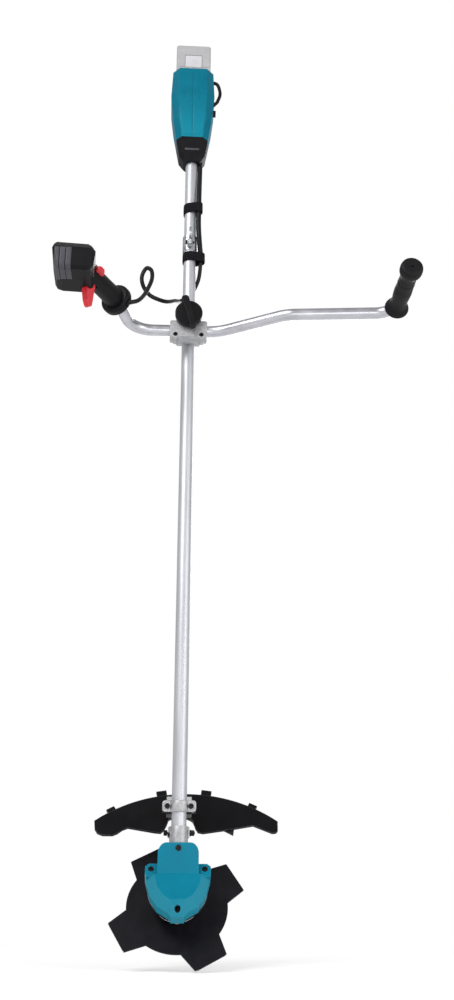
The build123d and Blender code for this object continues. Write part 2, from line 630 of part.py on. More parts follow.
# ---------------------------------------------------------------- left hand grip
LEFT_GRIP_X = 386.7
left_grip = revolve(
    make_face(
        Polyline(
            (0, 0), (21.5, 0), (22.5, 3), (21.5, 8), (17.5, 13), (15.6, 22), (16.6, 50), (16.2, 80),
            (15.4, 100), (16.5, 112), (19.6, 118), (20.6, 124), (20, 132), (16.5, 136), (0, 137), close=True,
        )
    ),
    Axis.Y,
)
LEFT_GRIP_Y = -142.0
left_grip = Pos(LEFT_GRIP_X, LEFT_GRIP_Y, BAR_Z) * Rot(180, 0, 0) * left_grip
left_grip -= sweep(bar_start * Circle(BAR_R), bar_path, transition=Transition.ROUND)
left_grip -= rod(2.2, (LEFT_GRIP_X, -270, BAR_Z), (LEFT_GRIP_X, -290, BAR_Z))
parts["left_grip"] = one(left_grip)


# ---------------------------------------------------------------- control grip (right hand)
FLANGE_R = 29.0
FLANGE_LOW_T = -8.0
FLANGE_TOP_T = 12.0
HANDLE_END_T = 95.0


def grip_body(shrink):
    """Outer or inner body of the control grip: flanged handle running into the switch box."""
    flange = rod(FLANGE_R - shrink, (0, 0, FLANGE_LOW_T + shrink), (0, 0, FLANGE_TOP_T - shrink))
    flange = fillet(flange.edges(), 7 - shrink)
    low = Pos(0, 0, FLANGE_LOW_T + 2 + shrink) * Circle(22 - shrink)
    end = Pos(0, 0, HANDLE_END_T) * Ellipse(19 - shrink, 21 - shrink)
    start = Pos(0, 0, 5) * Ellipse(20 - shrink, 20 - shrink)
    waist = Pos(0, 0, 45) * Ellipse(18 - shrink, 19 - shrink)
    handle = loft(Sketch() + [start, waist, end]) + extrude(end, 22)
    return on_grip(flange + handle + extrude(low, 10))


BOX_TOP = 27.0
BROW_DROP = 17.0
BROW_DEPTH = 14.0


def switch_box(shrink):
    """Switch box at the top of the grip, a prism from back to front with bevelled ends."""
    outline = [
        (-37, 10), (-30, BOX_TOP), (24, BOX_TOP), (37, 8), (34.5, -20), (30, -28), (22, -31),
        (-18, -31), (-27, -28), (-31.5, -20),
    ]
    half_length = BOX_HALF_LENGTH - shrink
    face = make_face(Polyline(*outline, close=True))
    if shrink:
        face = offset(face, -shrink)
    box = Pos(0, 0, -half_length) * extrude(face, 2 * half_length)
    box = chamfer(box.edges().group_by(Axis.Z)[-1], 5 - shrink / 2)
    box = chamfer(box.edges().group_by(Axis.Z)[0], 4 - shrink / 2)
    box = Rot(90, 0, 0) * box
    brow_front = -half_length - 1
    box -= side_slab([
        (brow_front, BOX_TOP - BROW_DROP - shrink), (brow_front, BOX_TOP + 1),
        (brow_front + BROW_DEPTH + shrink, BOX_TOP + 1),
    ], -60, 60)
    return on_box(box)


SHELL_WALL = 2.6
GLAND_DROP = -13.0
BUTTON_R = 8.1
BUTTON_BACK = 10.0
TRIGGER_T = 102.0
PIVOT_Y = -10.0
control_outer = grip_body(0) + switch_box(0)
control_inner = grip_body(SHELL_WALL) + switch_box(SHELL_WALL)
bar_clear = sweep(bar_start * Circle(BAR_R), bar_path, transition=Transition.ROUND)
collar = on_grip(rod(15.5, (0, 0, -5), (0, 0, 24)))
control = control_outer - control_inner + (collar & control_outer)
for side in (-1, 1):
    boss = rod(5, (side * 6.3, PIVOT_Y, TRIGGER_T), (side * 60, PIVOT_Y, TRIGGER_T))
    control += on_grip(boss) & control_outer
    control -= on_grip(rod(2.55, (side * 6.0, PIVOT_Y, TRIGGER_T), (side * 9.6, PIVOT_Y, TRIGGER_T)))
control -= bar_clear
trigger_slot = on_grip(block(-6.2, 6.2, -60, -5, TRIGGER_T - 26, TRIGGER_T + 10))
lock_slot = on_grip(block(10, 40, -5.2, 5.2, 83.8, 102.2))
button_hole = on_box(rod(BUTTON_R + 0.1, (0, BUTTON_BACK, 16), (0, BUTTON_BACK, 40)))
cable_hole = on_grip(rod(CABLE_R + 1.8, (16, GLAND_DROP, 2), (60, GLAND_DROP, 2)))
control -= trigger_slot + lock_slot + button_hole + cable_hole
CONTROL_SCREWS = ((3, 36), (4, 62))
SCREW_SEAT = -17.2
for up, along in CONTROL_SCREWS:
    control -= on_grip(rod(3.0, (SCREW_SEAT, up, along), (-30, up, along)))
    control -= on_grip(rod(1.1, (-14, up, along), (-30, up, along)))
inner_side = on_grip(block(0, 200, -200, 200, -100, 400))
outer_side = on_grip(block(-200, 0, -200, 200, -100, 400))
parts["control_housing_inner"] = one(control & inner_side)
parts["control_housing_outer"] = one(control & outer_side)

control_screws = []
for up, along in CONTROL_SCREWS:
    screw = Pos(SCREW_SEAT, up, along) * Rot(0, -90, 0) * socket_screw(2.9, 1.6, 1.1, 1.0, 1.3)
    control_screws.append(on_grip(screw))
parts["control_housing_screws"] = Compound(control_screws)
TRIGGER_HALF = 5.4
# Side view of the trigger about its pivot: along the grip, then up.
TRIGGER_OUTLINE = [
    (8, -5), (9, -20), (6, -38), (1, -58), (-5, -67), (-12, -67),
    (-15, -52), (-17, -36), (-20, -22), (-18, -14), (-8, -12), (-8, -5),
]
trigger = slab(TRIGGER_OUTLINE, -TRIGGER_HALF, TRIGGER_HALF)
trigger = Plane(origin=(0, 0, TRIGGER_T), x_dir=(0, 0, 1), z_dir=(-1, 0, 0)).location * trigger
trigger = fillet(trigger.edges().filter_by(Axis.X).group_by(Axis.Y)[0], 3)
trigger += rod(2.5, (-9.4, PIVOT_Y, TRIGGER_T), (9.4, PIVOT_Y, TRIGGER_T))
parts["trigger"] = one(on_grip(trigger))
parts["trigger_switch"] = on_grip(block(-7, 7, 0, 12, TRIGGER_T - 16, TRIGGER_T + 12))

lock = block(15, 27, -4.8, 4.8, 84.2, 101.8)
lock = fillet(lock.edges().filter_by(Axis.Y).group_by(Axis.X)[-1], 5)
lock += block(11, 13.8, -4.8, 6, 82.5, 103.5) + block(13, 16, -4.8, 4.8, 84.2, 101.8)
parts["lock_off_lever"] = one(on_grip(lock))

parts["power_button"] = on_box(rod(BUTTON_R, (0, BUTTON_BACK, 19), (0, BUTTON_BACK, BOX_TOP + 1.5)))
parts["control_board"] = on_box(block(-22, 22, -18, 9, 13, 14.6))

# ---------------------------------------------------------------- rear unit: moulded housing and nose
SECTIONS = (
    (NOSE_TOP_Z, 34.0, -30.0, 32.0), (1545.0, 41.0, -41.0, 44.0), (1605.0, 47.0, -48.0, 56.0),
    (REAR_TOP_Z, 44.0, -49.0, 64.0),
)


def rear_section(z, half_x, y_front, y_back, shrink):
    """One eight sided cross-section of the rear housing."""
    cut = half_x * 0.34
    w = half_x - shrink
    f = y_front + shrink
    b = y_back - shrink
    outline = [
        (-w, f + cut), (-w + cut, f), (w - cut, f), (w, f + cut), (w, b - cut), (w - cut, b), (-w + cut, b),
        (-w, b - cut),
    ]
    return Pos(0, 0, z) * make_face(Polyline(*outline, close=True))


def rear_body(shrink, low, high):
    """The rear housing as a ruled stack of cross-sections."""
    faces = []
    for i, (z, half_x, y_front, y_back) in enumerate(SECTIONS):
        level = low if i == 0 else high if i == len(SECTIONS) - 1 else z
        faces.append(rear_section(level, half_x, y_front, y_back, shrink))
    return loft(Sketch() + faces, ruled=True)


shell = rear_body(0, NOSE_TOP_Z, REAR_TOP_Z) - rear_body(REAR_WALL, NOSE_TOP_Z - 1, REAR_TOP_Z + 1)
shell += extrude(rear_section(REAR_TOP_Z - 4, 43.9, -48.9, 63.9, 1.0), 4)
shell -= block(-31, 31, -34, 52, REAR_TOP_Z - 20, REAR_TOP_Z + 20)
REAR_SCREWS = ((44.2, -8, 1655), (44.2, 44, 1655), (43.2, -10, 1572), (43.2, 30, 1572), (35.7, 2, 1512))
rear_screws = []
for x, y, z in REAR_SCREWS:
    shell -= rod(3.1, (x - 1.8, y, z), (x + 9, y, z))
    shell -= rod(1.3, (x - 6, y, z), (x + 9, y, z))
    rear_screws.append(Pos(x - 1.8, y, z) * Rot(0, 90, 0) * socket_screw(3.0, 1.6, 1.3, 1.0, 1.3))
parts["rear_housing_screws"] = Compound(rear_screws)
parts["rear_housing_left"] = one(shell & block(-100, -0.1, -100, 100, 1400, 1800))
parts["rear_housing_right"] = one(shell & block(0.1, 100, -100, 100, 1400, 1800))

nose_top = rear_section(NOSE_TOP_Z - 0.2, 34, -30, 32, 0)
nose_mid = rear_section(NOSE_LOW_Z + 16, 28, -25, 26, 0)
nose_low = rear_section(NOSE_LOW_Z, 18, -19, 20, 0)
nose = loft(Sketch() + [nose_mid, nose_top], ruled=True) + loft(Sketch() + [nose_low, nose_mid], ruled=True)
nose -= rod(PIPE_R + FIT, (0, 0, 1400), (0, 0, 1600))
nose -= rod(5.6, (18, -2, 1400), (18, -2, 1470))
spigot = extrude(rear_section(NOSE_TOP_Z - 0.2, 34, -30, 32, REAR_WALL + 0.2), 14)
nose += spigot - block(-20, 20, -20, 20, 1400, 1600)
parts["rear_nose"] = one(nose)

controller = block(-24, 24, -26, -4, 1540, 1625)
controller = fillet(controller.edges().filter_by(Axis.Z), 3)
parts["controller_unit"] = controller

RAIL_FRONT_Y = -33.8
RAIL_BACK_Y = 51.8
RAIL_NECK_X = 24.0
RAIL_HEAD_X = 29.0
RAIL_NECK_TOP_Z = REAR_TOP_Z + 3.0
terminal = block(-30.8, 30.8, RAIL_FRONT_Y, RAIL_BACK_Y, REAR_TOP_Z - 12, REAR_TOP_Z)
terminal += block(-RAIL_NECK_X, RAIL_NECK_X, RAIL_FRONT_Y, RAIL_BACK_Y, REAR_TOP_Z, RAIL_NECK_TOP_Z)
terminal += block(-RAIL_HEAD_X, RAIL_HEAD_X, RAIL_FRONT_Y, RAIL_BACK_Y, RAIL_NECK_TOP_Z, REAR_TOP_Z + 5.8)
parts["battery_terminal_block"] = terminal

LOOP_R = 3.6
LOOP_POINTS = [
    (43, -24, 1652), (54, -26, 1645), (58, -26, 1632), (58, -26, 1612), (54, -26, 1600), (44, -24, 1588),
]
loop = tube_along(LOOP_POINTS, LOOP_R, (1, -0.2, 0), (-1, 0.2, -1))
loop -= rear_body(0, NOSE_TOP_Z, REAR_TOP_Z)
parts["side_loop"] = one(loop)
clip = block(44, 50, -30, -18, 1562, 1570) - rear_body(0, NOSE_TOP_Z, REAR_TOP_Z)
parts["cable_clip"] = one(clip)

# ---------------------------------------------------------------- battery
RAIL_GAP = 0.4
case = block(-BATTERY_HALF_X, BATTERY_HALF_X, BATTERY_FRONT_Y, BATTERY_BACK_Y, BATTERY_LOW_Z, BATTERY_TOP_Z)
case = fillet(case.edges().filter_by(Axis.Y), 6)
case = chamfer(case.edges().group_by(Axis.Y)[0], 3)
foot = block(-36, 36, BATTERY_FRONT_Y + 2, BATTERY_BACK_Y - 2, REAR_TOP_Z + RAIL_GAP, BATTERY_LOW_Z + 8)
channel_front = RAIL_FRONT_Y - RAIL_GAP
head_x = RAIL_HEAD_X + RAIL_GAP
neck_x = RAIL_NECK_X + RAIL_GAP
channel = block(-head_x, head_x, channel_front, 120, RAIL_NECK_TOP_Z - RAIL_GAP, BATTERY_LOW_Z + 0.2)
channel += block(-neck_x, neck_x, channel_front, 120, REAR_TOP_Z - 1, REAR_TOP_Z + 4)
case = case + foot - channel
case -= block(-34, 34, BATTERY_FRONT_Y + 4, BATTERY_BACK_Y - 4, BATTERY_LOW_Z + 3, BATTERY_TOP_Z - 3)
case -= block(-19, 19, BATTERY_FRONT_Y - 5, BATTERY_FRONT_Y + 7, BATTERY_LOW_Z + 1, BATTERY_LOW_Z + 35)
parts["battery_case"] = one(case)
CELL_R = 9.2
CELL_PITCH = 19.8
cells = []
for i in range(5):
    for j in range(2):
        y = -28.5 + i * CELL_PITCH
        z = BATTERY_LOW_Z + 24 + j * 19.5
        cells.append(rod(CELL_R, (-32.5, y, z), (32.5, y, z)))
parts["battery_cells"] = Compound(cells)
release_low = BATTERY_LOW_Z + 1.4
release_top = BATTERY_LOW_Z + 34.6
release = block(-18.6, 18.6, BATTERY_FRONT_Y + 0.5, BATTERY_FRONT_Y + 5, release_low, release_top)
release = chamfer(release.edges().group_by(Axis.Y)[0], 1)
parts["battery_release_button"] = release

# ---------------------------------------------------------------- hanger for the harness
HANGER_LOW_Z = 1220.0
HANGER_TOP_Z = 1256.0
HANGER_SCREW_Y = -21.0
HANGER_SCREW_Z = HANGER_LOW_Z + 12.0
EYE_HALF = 2.4
band = ring(15.2, PIPE_R + FIT, (0, 0, HANGER_LOW_Z), (0, 0, HANGER_TOP_Z))
band += block(-5.4, 5.4, -27, -13.4, HANGER_LOW_Z + 6, HANGER_LOW_Z + 17)
band -= block(-2.7, 2.7, -30, -10, HANGER_LOW_Z - 1, HANGER_TOP_Z + 1)
hanger_screw_space = rod(2.6, (-20, HANGER_SCREW_Y, HANGER_SCREW_Z), (20, HANGER_SCREW_Y, HANGER_SCREW_Z))
band -= hanger_screw_space
parts["hanger_band"] = one(band)
EYE_Y = -33.0
EYE_Z = 1246.0
eye = rod(12.5, (-EYE_HALF, EYE_Y, EYE_Z), (EYE_HALF, EYE_Y, EYE_Z))
eye_stem = [
    (EYE_Y + 3, EYE_Z - 11), (EYE_Y + 3, EYE_Z + 11), (-15.5, EYE_Z + 4),
    (-15.5, EYE_Z - 20), (-26, EYE_Z - 20),
]
eye += side_slab(eye_stem, -EYE_HALF, EYE_HALF)
eye -= rod(7.5, (-5, EYE_Y, EYE_Z), (5, EYE_Y, EYE_Z))
parts["hanger_eye"] = one(eye - hanger_screw_space)
hanger_screw = Rot(0, -90, 0) * socket_screw(4.2, 4, 2.5, 14, 2.2)
parts["hanger_screw"] = Pos(-5.4, HANGER_SCREW_Y, HANGER_SCREW_Z) * hanger_screw

# ---------------------------------------------------------------- control cable and its straps
sleeve = tube_along(
    [
        (18, -2, 1462), (18, -3, 1425), (17, -11, 1350), (17, -11, 1325), (17, -11, 1280), (20, -8, 1235),
        (22.3, -3.6, 1214), (22.3, -3.6, 1209),
    ],
    SLEEVE_R, (0, 0, -1), (0, 0, -1),
)
parts["cable_sleeve"] = sleeve
loop_cable = tube_along(
    [
        (22.3, -3.6, 1208.5), (22.3, -2.4, 1190), (18, 10, 1160), (3, 23, 1134), (-17, 12, 1112),
        (-28, -20, 1091), (-43, -50, 1069), (-60, -68, 1062), (-77, -80, 1064), (-89, -88, 1078),
        (-92, -92, 1097), (-84, -96, 1113), (-74, -101, 1105), (-72, -108, 1082), (-78, -118, 1054),
        (-86, -132, 1027), (-95, -148, 1006), (-106.7, -155.8, 997), (-115.5, -151.1, 997),
    ],
    CABLE_R, (0, 0, -1), (-math.cos(LEAN), math.sin(LEAN), 0),
)
parts["control_cable"] = loop_cable


def strap(z, width, cable_x, cable_y, cable_r, pipe_gap):
    """A strap wrapped round the pipe and the cable beside it."""
    inner_r = PIPE_R + pipe_gap
    thick = 1.8
    outlines = []
    for extra in (thick, 0):
        big = Circle(inner_r + extra)
        small = Pos(cable_x, cable_y) * Circle(cable_r + 0.4 + extra)
        outlines.append(make_face(make_hull([*big.edges(), *small.edges()])))
    return Pos(0, 0, z - width / 2) * (extrude(outlines[0], width) - extrude(outlines[1], width))


parts["cable_strap_upper"] = strap(1325, 22, 17.0, -11.0, SLEEVE_R + 0.2, 0.3)
parts["cable_strap_lower"] = strap(1205, 20, 22.3, -3.6, SLEEVE_R + 0.8, 0.3)

# ---------------------------------------------------------------- write one file per piece
os.makedirs("parts", exist_ok=True)
for name, shape in parts.items():
    shape.label = name
    export_step(shape, f"parts/{name}.step")
print(len(parts), "pieces")
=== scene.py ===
"""Looks of a cordless brush cutter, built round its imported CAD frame.  All lengths are in metres."""
import json
import math

import bmesh
import bpy
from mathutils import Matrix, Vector, noise
from mathutils.bvhtree import BVHTree


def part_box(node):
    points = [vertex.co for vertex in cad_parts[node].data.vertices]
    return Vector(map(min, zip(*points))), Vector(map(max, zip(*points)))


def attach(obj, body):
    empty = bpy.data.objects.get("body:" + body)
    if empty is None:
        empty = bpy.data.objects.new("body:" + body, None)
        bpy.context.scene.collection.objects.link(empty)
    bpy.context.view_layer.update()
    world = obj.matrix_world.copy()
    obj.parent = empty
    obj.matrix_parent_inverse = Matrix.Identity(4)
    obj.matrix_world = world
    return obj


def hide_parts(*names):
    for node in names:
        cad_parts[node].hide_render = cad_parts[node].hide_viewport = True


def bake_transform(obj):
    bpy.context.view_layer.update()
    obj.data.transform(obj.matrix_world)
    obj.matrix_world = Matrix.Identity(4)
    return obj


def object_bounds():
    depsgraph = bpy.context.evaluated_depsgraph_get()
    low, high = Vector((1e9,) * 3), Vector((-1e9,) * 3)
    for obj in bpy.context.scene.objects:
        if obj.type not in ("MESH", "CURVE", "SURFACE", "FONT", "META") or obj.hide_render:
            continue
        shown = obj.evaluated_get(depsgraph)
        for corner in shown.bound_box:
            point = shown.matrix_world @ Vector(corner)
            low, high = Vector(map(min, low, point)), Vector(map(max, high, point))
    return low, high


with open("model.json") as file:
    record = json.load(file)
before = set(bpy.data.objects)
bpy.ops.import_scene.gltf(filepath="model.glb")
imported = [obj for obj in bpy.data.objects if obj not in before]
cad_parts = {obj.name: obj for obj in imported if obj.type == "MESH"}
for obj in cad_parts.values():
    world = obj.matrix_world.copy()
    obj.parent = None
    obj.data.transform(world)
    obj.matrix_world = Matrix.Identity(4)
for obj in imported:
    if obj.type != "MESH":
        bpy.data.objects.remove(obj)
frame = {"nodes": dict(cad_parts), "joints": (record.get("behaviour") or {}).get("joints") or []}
cad_low, cad_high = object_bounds()
MM = 0.001

# ---------------------------------------------------------------- frames taken from the joints
JOINTS = {joint["name"]: joint for joint in frame["joints"]}
BLADE_CENTRE = Vector(JOINTS["cutter_spin"]["pos_m"])
HEAD_UP = Vector(JOINTS["cutter_spin"]["axis"]).normalized()
HEAD_BACK = HEAD_UP.cross(Vector((1, 0, 0)))
BLADE_R = 0.115
GROUND_RIM = 0.0010
BARE_RIM_UP = 0.0165
SWING_POINT = Vector(JOINTS["handle_swing"]["pos_m"])
FACET_LOW_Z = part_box("rear_housing_left")[0].z
# Heights of the painted highlights on the front of the rear housing.
FACET_FADE = (0.020, 0.060)
PALE_LOW_Z = 1.50
PALE_TOP_Z = 1.60
HOUSING_COLOUR = (0.0, 0.128, 0.192)


# ---------------------------------------------------------------- material building
class Graph:
    """A node graph under construction."""

    def __init__(self, name):
        self.material = bpy.data.materials.new(name)
        self.material.use_nodes = True
        self.tree = self.material.node_tree
        self.tree.nodes.clear()

    def add(self, kind, inputs=None, **settings):
        """Add a node and return it, with sockets linked and values set."""
        made = self.tree.nodes.new(kind)
        for key, value in settings.items():
            setattr(made, key, value)
        for key, value in (inputs or {}).items():
            self.put(made.inputs[key], value)
        return made

    def put(self, socket, value):
        """Link a socket, or set its value."""
        if isinstance(value, bpy.types.NodeSocket):
            self.tree.links.new(value, socket)
        elif socket.type == "RGBA" and len(value) == 3:
            socket.default_value = (*value, 1)
        else:
            socket.default_value = value

    def mix(self, factor, first, second):
        """Blend two colours."""
        made = self.tree.nodes.new("ShaderNodeMix")
        made.data_type = "RGBA"
        self.put(made.inputs[0], factor)
        self.put(made.inputs[6], first)
        self.put(made.inputs[7], second)
        return made.outputs[2]

    def math(self, operation, first, second=0.0):
        """One arithmetic step."""
        made = self.add("ShaderNodeMath", {0: first, 1: second}, operation=operation)
        return made.outputs[0]

    def remap(self, value, low, high, to_low=0.0, to_high=1.0):
        """Clamp and rescale a value."""
        made = self.add("ShaderNodeMapRange", {0: value, 1: low, 2: high, 3: to_low, 4: to_high})
        return made.outputs[0]

    def place(self, stretch=(1, 1, 1)):
        """Object coordinates, stretched along each axis."""
        coordinates = self.add("ShaderNodeTexCoord").outputs["Object"]
        scale = tuple(1 / value for value in stretch)
        return self.add("ShaderNodeMapping", {"Vector": coordinates, "Scale": scale}).outputs[0]

    def height(self):
        """Height above the origin, as a socket."""
        place = self.add("ShaderNodeTexCoord").outputs["Object"]
        return self.add("ShaderNodeSeparateXYZ", {0: place}).outputs[2]

    def noise(self, size, stretch=(1, 1, 1), detail=3.0):
        """Noise whose features are about the given size."""
        made = self.add(
            "ShaderNodeTexNoise",
            {"Vector": self.place(stretch), "Scale": 1 / size, "Detail": detail},
        )
        return made.outputs[0]

    def edges(self, width):
        """One on edges and corners, zero on open surfaces."""
        soft = self.add("ShaderNodeBevel", {"Radius": width}, samples=6).outputs[0]
        hard = self.add("ShaderNodeNewGeometry").outputs["Normal"]
        alike = self.add(
            "ShaderNodeVectorMath", {0: soft, 1: hard}, operation="DOT_PRODUCT",
        ).outputs["Value"]
        return self.remap(alike, 0.985, 0.86)


def finish(
    name, dark, light, rough, metal=0.0, mottle=0.03, grain=0.0008, depth=0.00003,
    stretch=(1, 1, 1), worn=None, worn_width=0.0012, worn_share=0.6, corner=0.0006,
    shine=0.5, height=None, tint=None,
):
    """A finish with colour variation, fine grain, rounded corners and edge wear."""
    graph = Graph(name)
    cloud = graph.noise(mottle, stretch)
    colour = graph.mix(graph.remap(cloud, 0.3, 0.7), dark, light)
    if tint:
        colour = tint(graph, colour)
    if worn:
        patchy = graph.remap(graph.noise(0.006), 0.35, 0.65, 0.35, 1.0)
        share = graph.math(
            "MULTIPLY", graph.edges(worn_width), graph.math("MULTIPLY", patchy, worn_share),
        )
        colour = graph.mix(share, colour, worn)
    speck = graph.noise(grain, stretch, 2.0)
    if height:
        speck = height(graph, speck)
    smooth_normal = graph.add("ShaderNodeBevel", {"Radius": corner}, samples=4).outputs[0]
    bump = graph.add(
        "ShaderNodeBump",
        {"Height": speck, "Distance": depth, "Strength": 1.0, "Normal": smooth_normal},
    )
    roughness = graph.math("ADD", graph.remap(cloud, 0.2, 0.8, -0.05, 0.05), rough)
    surface = graph.add("ShaderNodeBsdfPrincipled", {
        "Base Color": colour, "Metallic": metal, "Roughness": roughness, "Normal": bump.outputs[0],
        "Specular IOR Level": shine,
    })
    graph.add("ShaderNodeOutputMaterial", {"Surface": surface.outputs[0]})
    return graph.material


def head_reach(graph, direction):
    """Distance from the blade's centre along a direction, as a socket."""
    place = graph.add("ShaderNodeTexCoord").outputs["Object"]
    offset = graph.add(
        "ShaderNodeVectorMath", {0: place, 1: BLADE_CENTRE}, operation="SUBTRACT",
    ).outputs[0]
    return graph.add(
        "ShaderNodeVectorMath", {0: offset, 1: direction}, operation="DOT_PRODUCT",
    ).outputs["Value"]


def facing(graph, direction):
    """How far the surface faces a direction, one to minus one, with its edges softened."""
    normal = graph.add("ShaderNodeBevel", {"Radius": 0.0015}, samples=6).outputs[0]
    return graph.add(
        "ShaderNodeVectorMath", {0: normal, 1: direction}, operation="DOT_PRODUCT",
    ).outputs["Value"]


def painted_slope_highlight(graph, colour):
    """Painted highlight: paler colour on the faces round the front of the head cover that slope down
    to its rim, chosen by which way they face.
    """
    sloped = graph.remap(facing(graph, HEAD_UP), 0.93, 0.85)
    front = graph.remap(head_reach(graph, HEAD_BACK), 0.008, 0.004)
    return graph.mix(graph.math("MULTIPLY", sloped, front), colour, (0.016, 0.225, 0.315))


def fading_painted_highlight(graph, colour):
    """Painted highlight on the lit facet over the nose, fading into the housing's own colour as it
    rises.
    """
    start, end = FACET_FADE
    risen = graph.remap(graph.height(), FACET_LOW_Z + start, FACET_LOW_Z + end)
    return painted_front_highlight(graph, graph.mix(risen, colour, HOUSING_COLOUR))


def painted_front_highlight(graph, colour):
    """Painted highlight: paler colour low on the faces of the rear housing that face the front."""
    low_part = graph.remap(graph.height(), PALE_TOP_Z, PALE_LOW_Z)
    front = graph.remap(facing(graph, (0, -1, 0)), 0.70, 0.97)
    return graph.mix(graph.math("MULTIPLY", low_part, front), colour, (0.004, 0.185, 0.262))


def tooth_edge_tint(graph, colour):
    """Bare ground steel on the outer rim of the blade's teeth."""
    place = graph.add("ShaderNodeTexCoord").outputs["Object"]
    offset = graph.add(
        "ShaderNodeVectorMath", {0: place, 1: BLADE_CENTRE}, operation="DISTANCE",
    ).outputs["Value"]
    ground = graph.remap(offset, BLADE_R - GROUND_RIM, BLADE_R - 0.4 * GROUND_RIM)
    return graph.mix(ground, colour, (0.55, 0.56, 0.58))


def bare_rim_tint(graph, colour):
    """Bare metal on the bottom rim of the painted motor housing."""
    bare = graph.remap(head_reach(graph, HEAD_UP), BARE_RIM_UP + 0.0003, BARE_RIM_UP - 0.0003)
    return graph.mix(bare, colour, (0.75, 0.76, 0.78))


def ribs_height(pitch):
    """Rings across Z at the given pitch, on top of the fine grain."""
    def made(graph, speck):
        wave = graph.math("SINE", graph.math("MULTIPLY", graph.height(), 2 * math.pi / pitch))
        return graph.math("ADD", graph.math("MULTIPLY", wave, 1.5), speck)
    return made


ALUMINIUM = finish(
    "satin_aluminium", (0.50, 0.51, 0.54), (0.60, 0.61, 0.64), rough=0.46, metal=0.75, mottle=0.02,
    grain=0.0006, depth=0.000005, stretch=(1, 1, 8),
)
BAR_METAL = finish(
    "polished_bar", (0.46, 0.46, 0.50), (0.58, 0.58, 0.62), rough=0.34, metal=1.0, mottle=0.03,
    grain=0.0006, depth=0.000001,
)
CASTING = finish(
    "cast_aluminium", (0.34, 0.34, 0.35), (0.50, 0.50, 0.51), rough=0.46, metal=0.7, mottle=0.006,
    grain=0.0009, depth=0.00003, worn=(0.75, 0.75, 0.77), worn_share=0.6,
)
CHROME = finish(
    "plated_band", (0.34, 0.35, 0.37), (0.72, 0.73, 0.75), rough=0.30, metal=1.0, mottle=0.007,
    grain=0.0014, depth=0.00003,
)
STEEL = finish(
    "bright_steel", (0.52, 0.53, 0.55), (0.70, 0.71, 0.73), rough=0.28, metal=1.0, mottle=0.01,
    grain=0.0004, depth=0.00001, worn=(0.9, 0.9, 0.9), worn_share=0.3,
)
BLADE_STEEL = finish(
    "blacked_blade_steel", (0.004, 0.004, 0.006), (0.008, 0.008, 0.011), rough=0.46, metal=0.0,
    mottle=0.02, grain=0.0005, depth=0.000012, worn=(0.5, 0.51, 0.53), worn_width=0.0005,
    worn_share=0.5, shine=0.15, tint=tooth_edge_tint,
)
SCREW_BLACK = finish(
    "black_oxide_screw", (0.004, 0.004, 0.005), (0.008, 0.008, 0.009), rough=0.42, metal=0.0,
    mottle=0.004, grain=0.0005, depth=0.00001, worn=(0.10, 0.10, 0.11), worn_width=0.0006,
    shine=0.2,
)
HOUSING_PAINT = finish(
    "black_housing_paint", (0.010, 0.010, 0.011), (0.018, 0.018, 0.020), rough=0.38, metal=0.1,
    mottle=0.02, grain=0.0006, depth=0.00003, shine=0.4, tint=bare_rim_tint,
)
PLASTIC = finish(
    "black_moulded_plastic", (0.004, 0.004, 0.005), (0.007, 0.007, 0.008), rough=0.40, metal=0.0,
    mottle=0.03, grain=0.0007, depth=0.00004, worn=(0.026, 0.026, 0.030), worn_share=0.7,
    shine=0.12,
)
# Lighter plastic for the nose bar and the switch box ribs; on the ribs its lightness is painted
# highlight.
PANEL_PLASTIC = finish(
    "lighter_moulded_plastic", (0.050, 0.050, 0.060), (0.066, 0.066, 0.078), rough=0.46, metal=0.0,
    mottle=0.02, grain=0.0008, depth=0.00006, worn=(0.10, 0.10, 0.11), shine=0.2,
)
GUARD_PLASTIC = finish(
    "guard_plastic", (0.003, 0.003, 0.004), (0.006, 0.006, 0.007), rough=0.36, metal=0.0,
    mottle=0.05, grain=0.0009, depth=0.00004, worn=(0.09, 0.09, 0.10), worn_width=0.0030,
    worn_share=0.8, shine=0.12,
)
RUBBER = finish(
    "black_grip_rubber", (0.004, 0.004, 0.005), (0.008, 0.008, 0.009), rough=0.50, metal=0.0,
    mottle=0.02, grain=0.0009, depth=0.00009, worn=(0.04, 0.04, 0.045), worn_width=0.0015,
    shine=0.15,
)
CABLE = finish(
    "cable_jacket", (0.004, 0.004, 0.005), (0.007, 0.007, 0.008), rough=0.36, metal=0.0,
    mottle=0.02, grain=0.0008, depth=0.00003, shine=0.2,
)
CUTTER_STEEL = finish(
    "dark_cutter_steel", (0.020, 0.020, 0.022), (0.034, 0.034, 0.036), rough=0.40, metal=0.3,
    mottle=0.02, grain=0.0005, depth=0.000012, worn=(0.20, 0.20, 0.21), worn_width=0.0006,
    worn_share=0.4, shine=0.2,
)
# Teal plastic of the rear housing, with a painted highlight low on its front faces.
TEAL = finish(
    "teal_moulded_plastic", (0.000, 0.118, 0.178), (0.000, 0.138, 0.205), rough=0.42, metal=0.0,
    mottle=0.04, grain=0.0007, depth=0.00004, worn=(0.02, 0.21, 0.29), worn_width=0.0014,
    worn_share=0.5, shine=0.10, tint=painted_front_highlight,
)
# Lighter copy of the teal for the facet over the nose: painted highlight, fading as it rises.
TEAL_PAINTED_LIT = finish(
    "teal_painted_lit_facet", (0.001, 0.155, 0.225), (0.002, 0.170, 0.245), rough=0.42, metal=0.0,
    mottle=0.04, grain=0.0007, depth=0.00004, worn=(0.02, 0.21, 0.29), worn_width=0.0014,
    shine=0.10, tint=fading_painted_highlight,
)
